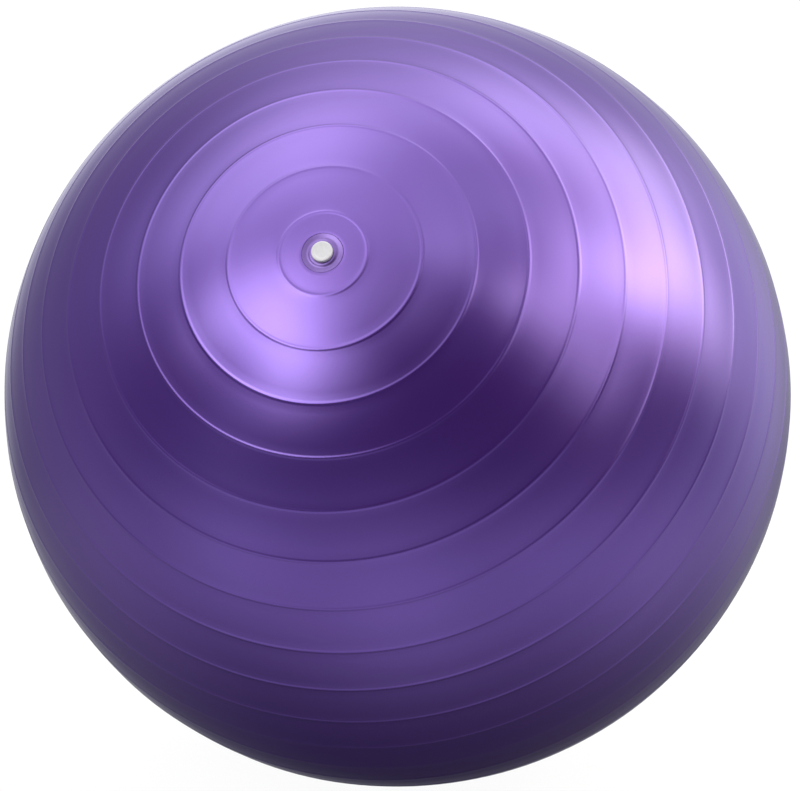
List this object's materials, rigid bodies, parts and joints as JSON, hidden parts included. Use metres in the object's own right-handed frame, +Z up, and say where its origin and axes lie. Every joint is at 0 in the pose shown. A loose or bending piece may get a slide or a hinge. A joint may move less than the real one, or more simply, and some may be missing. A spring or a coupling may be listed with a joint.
{
  "type": "exercise ball",
  "caption": "Round inflated exercise ball with raised anti-slip rings, a moulded valve seat and a push-in plug that pulls out.",
  "frame": {"origin": "centre of the flat patch that the ball stands on, at floor level", "axes": "+Z up. The valve is on the -Y side, and its axis lies in the YZ plane, 30 degrees above the horizontal."},
  "size_m": [0.6522, 0.6532, 0.6424],
  "materials": {
    "shell": "pearlescent purple PVC, metallic lustre",
    "valve_seat": "semi-clear soft purple PVC, satin",
    "valve_plug": "white polyethylene, satin"
  },
  "bodies": {
    "ball": {"ball_shell": "shell", "valve_seat": "valve_seat"},
    "plug": {"valve_plug": "valve_plug"}
  },
  "joints": [
    {"name": "plug_pull", "type": "slide", "parent": "ball", "child": "plug", "axis": [0, -0.866, 0.5], "range_m": [0, 0.035]}
  ]
}
